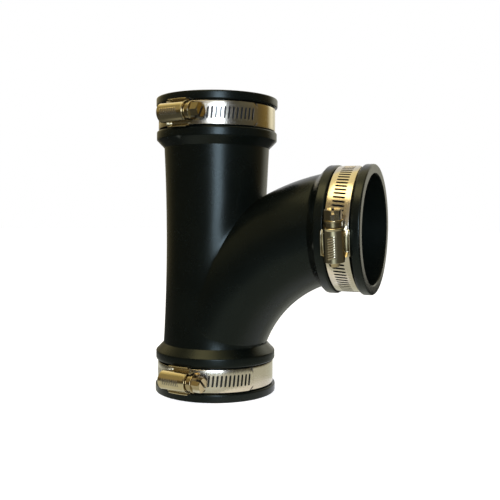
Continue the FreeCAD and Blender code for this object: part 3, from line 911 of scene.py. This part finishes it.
# %% Node helpers
def wire(tree, node, **inputs):
    """Sets or links inputs of a node, each by its name with _ for a space, or by number as i0."""
    for key, value in inputs.items():
        numbered = key[0] == "i" and key[1:].isdigit()
        socket = node.inputs[int(key[1:]) if numbered else key.replace("_", " ")]
        if isinstance(value, bpy.types.NodeSocket):
            tree.links.new(value, socket)
        else:
            socket.default_value = value


def add_node(tree, kind, settings=None, **inputs):
    """Adds a shader node with its properties and inputs, and gives its outputs."""
    node = tree.nodes.new("ShaderNode" + kind)
    for key, value in (settings or {}).items():
        setattr(node, key, value)
    wire(tree, node, **inputs)
    return node.outputs


def computed(tree, operation, *values):
    """Output of a maths node."""
    inputs = {f"i{place}": value for place, value in enumerate(values)}
    return add_node(tree, "Math", {"operation": operation}, **inputs)[0]


def ranged(tree, value, from_low, from_high, to_low=0.0, to_high=1.0):
    """A value carried from one range to another."""
    return add_node(tree, "MapRange", i0=value, i1=from_low, i2=from_high, i3=to_low, i4=to_high)["Result"]


def noise(tree, place, scale, detail, roughness=0.5):
    """Cloudy noise from 0 to 1."""
    return add_node(tree, "TexNoise", Vector=place, Scale=scale, Detail=detail, Roughness=roughness)["Fac"]


def mixed(tree, share, low, high):
    """Colour between low, a socket or a plain colour, and the plain colour high."""
    start = low if isinstance(low, bpy.types.NodeSocket) else (*low, 1)
    return add_node(tree, "Mix", {"data_type": "RGBA"}, Factor=share, A=start, B=(*high, 1))["Result"]


def new_group(name, inputs, outputs):
    """Empty node group of plain numbers, its inputs and the node that takes its outputs."""
    group = bpy.data.node_groups.new(name, "ShaderNodeTree")
    for label, value in inputs.items():
        socket = group.interface.new_socket(label, in_out="INPUT", socket_type="NodeSocketFloat")
        socket.default_value = value
    for label in outputs:
        group.interface.new_socket(label, in_out="OUTPUT", socket_type="NodeSocketFloat")
    return group, group.nodes.new("NodeGroupInput").outputs, group.nodes.new("NodeGroupOutput")


def new_material(name, **looks):
    """Material with some inputs of its shader set, its node tree and the shader."""
    material = bpy.data.materials.new(name)
    material.use_nodes = True
    tree = material.node_tree
    shader = tree.nodes["Principled BSDF"]
    wire(tree, shader, **looks)
    return material, tree, shader


print("node helpers ready")


# %% Groups for grain, wear and rolled lines
def make_grain_group():
    """Grain: one noise for height and a slower one for patches."""
    group, entry, leave = new_group("moulded_grain", {"Scale": 900.0, "Patch Scale": 40.0},
                                    ["Height", "Patches"])
    place = add_node(group, "TexCoord")["Object"]
    wire(group, leave, Height=noise(group, place, entry["Scale"], 3.0, 0.6),
         Patches=noise(group, place, entry["Patch Scale"], 4.0, 0.55))
    return group


def make_wear_group():
    """Worn edges: convex edges of the mesh, broken up by a noise."""
    group, entry, leave = new_group("edge_wear", {"Scale": 220.0}, ["Mask"])
    edge = ranged(group, add_node(group, "NewGeometry")["Pointiness"], 0.55, 0.65)
    patch = noise(group, add_node(group, "TexCoord")["Object"], entry["Scale"], 3.0)
    uneven = ranged(group, patch, 0.3, 0.6, 0.35, 1.0)
    wire(group, leave, Mask=computed(group, "MULTIPLY", edge, uneven))
    return group


def make_rolled_group():
    """Fine lines: a noise stretched along the flat strip."""
    group, entry, leave = new_group("rolled_lines", {"Fineness": 5000.0}, ["Height"])
    lie = add_node(group, "Attribute", {"attribute_name": "lie"})["Vector"]
    squash = add_node(group, "VectorMath", {"operation": "MULTIPLY"}, i0=lie, i1=(0.02, 1.0, 0.3))[0]
    wire(group, leave, Height=noise(group, squash, entry["Fineness"], 2.0))
    return group


grain_group, wear_group, rolled_group = make_grain_group(), make_wear_group(), make_rolled_group()
print("groups", grain_group.name, wear_group.name, rolled_group.name)


# %% Black rubber
RUBBER_DARK = (0.0015, 0.0022, 0.0018)
RUBBER_PALE = (0.0045, 0.0058, 0.004)
RUBBER_SCUFF = (0.05, 0.052, 0.04)
RUBBER_TINT = (0.88, 1.0, 0.86, 1)


def make_rubber():
    """Satin black rubber: fine grain, slow patches in tone and gloss, paler where it is worn."""
    material, tree, shader = new_material("black_rubber", Specular_IOR_Level=0.17,
                                          Specular_Tint=RUBBER_TINT)
    grain = add_node(tree, "Group", {"node_tree": grain_group})
    worn = add_node(tree, "Group", {"node_tree": wear_group})["Mask"]
    colour = mixed(tree, grain["Patches"], RUBBER_DARK, RUBBER_PALE)
    gloss = ranged(tree, grain["Patches"], 0, 1, 0.22, 0.32)
    bump = add_node(tree, "Bump", Strength=0.12, Distance=0.0002, Height=grain["Height"])
    wire(tree, shader, Base_Color=mixed(tree, worn, colour, RUBBER_SCUFF),
         Roughness=computed(tree, "MULTIPLY_ADD", worn, 0.2, gloss), Normal=bump["Normal"])
    return material


rubber = make_rubber()
tee_body.data.materials.append(rubber)
print("material", rubber.name)


# %% Warm steel
STEEL_RUBBED = (0.72, 0.68, 0.58)
# Painted shade: the dark colour for slots, grooves and the band under its tail.
PAINTED_SHADE_COLOUR = (0.03, 0.027, 0.02)
GLOSS_SWING = 0.06


def make_steel(name, low, high, roughness):
    """Stainless steel with slow patches, rolled lines and rubbed edges, and painted shade where a
    piece marks it: a darker, less metallic colour in place of the shade in slots and grooves and
    under the band's tail.
    """
    material, tree, shader = new_material(name)
    grain = add_node(tree, "Group", {"node_tree": grain_group}, Patch_Scale=120.0)
    worn = add_node(tree, "Group", {"node_tree": wear_group})["Mask"]
    lines = add_node(tree, "Group", {"node_tree": rolled_group})["Height"]
    grime = add_node(tree, "Attribute", {"attribute_name": "grime"})["Fac"]
    rubbed = mixed(tree, worn, mixed(tree, grain["Patches"], low, high), STEEL_RUBBED)
    gloss = ranged(tree, lines, 0.3, 0.7, roughness - GLOSS_SWING, roughness + GLOSS_SWING)
    bump = add_node(tree, "Bump", Strength=0.15, Distance=0.00003, Height=lines)
    # Painted shade darkens the colour and lowers the metal where the pieces mark it.
    wire(tree, shader, Base_Color=mixed(tree, grime, rubbed, PAINTED_SHADE_COLOUR), Roughness=gloss,
         Metallic=ranged(tree, grime, 0, 1, 1.0, 0.6), Normal=bump["Normal"])
    return material


# The screws' steel is a darker copy, painted shade for the shaded screw heads.
STEEL = {"band_steel": ((0.44, 0.39, 0.30), (0.53, 0.48, 0.37), 0.2),
         "housing_steel": ((0.46, 0.38, 0.22), (0.55, 0.47, 0.30), 0.17),
         "screw_steel": ((0.30, 0.235, 0.125), (0.42, 0.34, 0.2), 0.17)}
steel = {name: make_steel(name, *looks) for name, looks in STEEL.items()}
for pieces, finish in ((screws, "screw_steel"), (bands, "band_steel"),
                       (saddles + housings, "housing_steel")):
    for piece in pieces:
        piece.data.materials.append(steel[finish])
print("steel finishes", sorted(steel))

# %% [markdown]
# ## Floor and light
#
# The floor and the world are plain white where the camera or a reflection sees them. A cool window
# in front and a warm lamp above stay low enough for black rubber to keep its own tone. Around stand
# boards that only reflections see: a white table with a pool of window light, two dim sides of a
# room and a warm ceiling.

# %% Floor and world
FLOOR_R = 6.0
FLOOR_COLOUR = (0.85, 0.85, 0.85, 1)
FLOOR_LIFT = 0.80
WORLD_LIGHT = 0.35
WHITE = (1, 1, 1, 1)


def seen_share(tree):
    """1 for camera, mirror and glass rays, 0 for the rays that carry plain light."""
    path = add_node(tree, "LightPath")
    seen = computed(tree, "MAXIMUM", path["Is Camera Ray"], path["Is Glossy Ray"])
    return computed(tree, "MAXIMUM", seen, path["Is Transmission Ray"])


def stage_piece(name, points, faces, material):
    """A piece of the set round the part."""
    mesh = bpy.data.meshes.new(name)
    mesh.from_pydata(points.reshape(-1, 3).tolist(), [], faces)
    mesh.materials.append(material)
    piece = new_object(name, mesh)
    return piece


def make_floor():
    """Wide pale disc under the tee. It keeps the shadow and is lifted to white where it is seen."""
    rim = polar(FLOOR_R, np.linspace(0, 2 * math.pi, 97)[:-1], 0.0)
    material, tree, shader = new_material("pale_floor", Base_Color=FLOOR_COLOUR, Roughness=0.9,
                                          Specular_IOR_Level=0.0, Emission_Color=WHITE)
    wire(tree, shader, Emission_Strength=computed(tree, "MULTIPLY", seen_share(tree), FLOOR_LIFT))
    return stage_piece("floor", rim, [list(range(len(rim)))], material)


def make_world():
    """White where it is seen or mirrored, a plain grey light elsewhere."""
    world = bpy.data.worlds.new("studio")
    bpy.context.scene.world = world
    world.use_nodes = True
    tree = world.node_tree
    strength = ranged(tree, seen_share(tree), 0, 1, WORLD_LIGHT, 1.0)
    wire(tree, tree.nodes["Background"], Color=WHITE, Strength=strength)
    return world


print("floor and world", make_floor().name, make_world().name)


# %% Lamps and boards
TARGET = Vector((0.03, 0.0, 0.09))
ROOM_R = 0.9
CEILING_HEIGHT = 1.3
CEILING_TONE = np.array([1.4, 1.22, 0.7])
TABLE_HEIGHT = 0.0005
POOL_AZIMUTH = -4.0
POOL_WIDTH = 14.0


def add_lamp(name, azimuth, elevation, distance, size, power, colour):
    """Soft lamp turned to the target, in metres and watts, at an azimuth from the camera's side,
    positive to its right."""
    heading = CAMERA_AZIMUTH + math.radians(azimuth)
    rise = math.radians(elevation)
    out = Vector((math.sin(heading) * math.cos(rise), -math.cos(heading) * math.cos(rise),
                  math.sin(rise)))
    lamp = new_object(name, bpy.data.lights.new(name, "AREA"))
    lamp.data.shape = "RECTANGLE"
    lamp.data.size, lamp.data.size_y = size
    lamp.data.energy = power
    lamp.data.color = colour
    aim = (-out).to_track_quat("-Z", "Y").to_matrix().to_4x4()
    lamp.matrix_world = Matrix.Translation(TARGET + out * distance) @ aim


def board_points(azimuth, radius, height):
    """Places round the target at azimuths in degrees from the camera's side."""
    heading = np.radians(azimuth) + CAMERA_AZIMUTH - math.pi / 2
    return polar(radius, heading, height) + [TARGET.x, TARGET.y, 0]


def row_tones(shares, tint):
    """Tones of a grid's rows: one share for each row, times one tint."""
    return np.array(shares)[:, None, None] * np.array(tint)


def add_board(name, points, tones):
    """Board that only reflections see: a grid of places and the tones with which it glows there."""
    material, tree, shader = new_material(name, Base_Color=(0, 0, 0, 1), Specular_IOR_Level=0.0,
                                          Emission_Strength=1.0)
    wire(tree, shader, Emission_Color=add_node(tree, "Attribute", {"attribute_name": "glow"})["Color"])
    board = stage_piece(name, points, sheet_faces(*points.shape[:2]).tolist(), material)
    tones = np.broadcast_to(tones, points.shape)
    glow = board.data.attributes.new("glow", "FLOAT_COLOR", "POINT")
    glow.data.foreach_set("color", np.insert(tones, 3, 1.0, axis=-1).ravel())
    board.visible_camera = board.visible_diffuse = board.visible_shadow = False


add_lamp("front_window", azimuth=4, elevation=8, distance=1.2, size=(0.34, 0.5), power=11.0,
         colour=(0.63, 0.77, 1.08))
add_lamp("warm_top", azimuth=-45, elevation=68, distance=1.2, size=(0.6, 0.6), power=5.0,
         colour=(1.0, 0.79, 0.42))
wall_heights = np.array([0, 0.22, 0.4, CEILING_HEIGHT])[:, None]
left_azimuths = np.array([-165, -130, -100, -60, -30, -12])
left_tones = np.array([(0.4, 0.38, 0.3), (0.25, 0.22, 0.12), (0.1, 0.09, 0.05), (0.12, 0.1, 0.06),
                       (0.08, 0.07, 0.05), (0.14, 0.13, 0.11)])
right_azimuths = np.array([16, 30, 50, 75, 92, 120, 130, 140, 150, 165])
right_tones = np.array([(0.06, 0.06, 0.06), (0.06, 0.06, 0.05), (0.1, 0.1, 0.08), (0.13, 0.12, 0.09),
                        (0.16, 0.12, 0.05), (0.28, 0.2, 0.06), (1.0, 1.0, 0.86), (1.3, 1.3, 1.16),
                        (0.75, 0.74, 0.65), (0.9, 0.9, 0.8)])
add_board("left_board", board_points(left_azimuths, ROOM_R, wall_heights),
          left_tones * row_tones([1.0, 1.0, 4.0, 4.0], [1.0, 0.95, 0.85]))
add_board("right_board", board_points(right_azimuths, ROOM_R, wall_heights),
          right_tones * row_tones([1.0, 1.0, 1.5, 1.5], [1.0, 0.97, 0.9]))
round_azimuths = np.linspace(-180, 180, 49)
table_radii = np.array([0.04, 0.11, 0.17, 0.3, ROOM_R])[:, None]
pool = np.exp(-((round_azimuths - POOL_AZIMUTH) / POOL_WIDTH) ** 2)[None, :, None]
add_board("table_board", board_points(round_azimuths, table_radii, TABLE_HEIGHT),
          row_tones([0.78, 0.78, 0.1, 0.1, 0.05], [0.98, 1.0, 0.88])
          + pool * row_tones([0.0, 0.0, 0.5, 1.6, 0.4], [0.75, 0.9, 1.0]))
add_board("ceiling_board", board_points(round_azimuths, np.array([0.01, ROOM_R])[:, None],
                                        CEILING_HEIGHT), CEILING_TONE)
